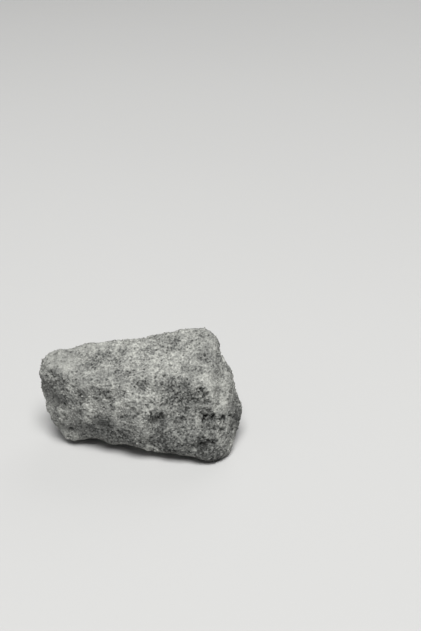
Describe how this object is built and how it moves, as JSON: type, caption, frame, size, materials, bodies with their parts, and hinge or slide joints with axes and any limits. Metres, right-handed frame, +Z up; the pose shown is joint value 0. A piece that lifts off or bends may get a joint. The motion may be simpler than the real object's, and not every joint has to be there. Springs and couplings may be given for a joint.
{
  "type": "alum crystal lump",
  "caption": "Rough broken lump of opaque grey alum with a coarse grainy, pitted surface, which rests on a small flat spot.",
  "frame": {"origin": "middle of the lump's box, on the surface that it rests on", "axes": "+X runs along the lump towards its high end, -Y faces its broad front, +Z is up"},
  "size_m": [0.0712, 0.0416, 0.0382],
  "materials": {
    "alum": "dull, rough and grainy, speckled light and dark grey, with darker pits and mottled patches"
  },
  "bodies": {
    "root": {"alum_crystal": "alum"}
  },
  "joints": []
}
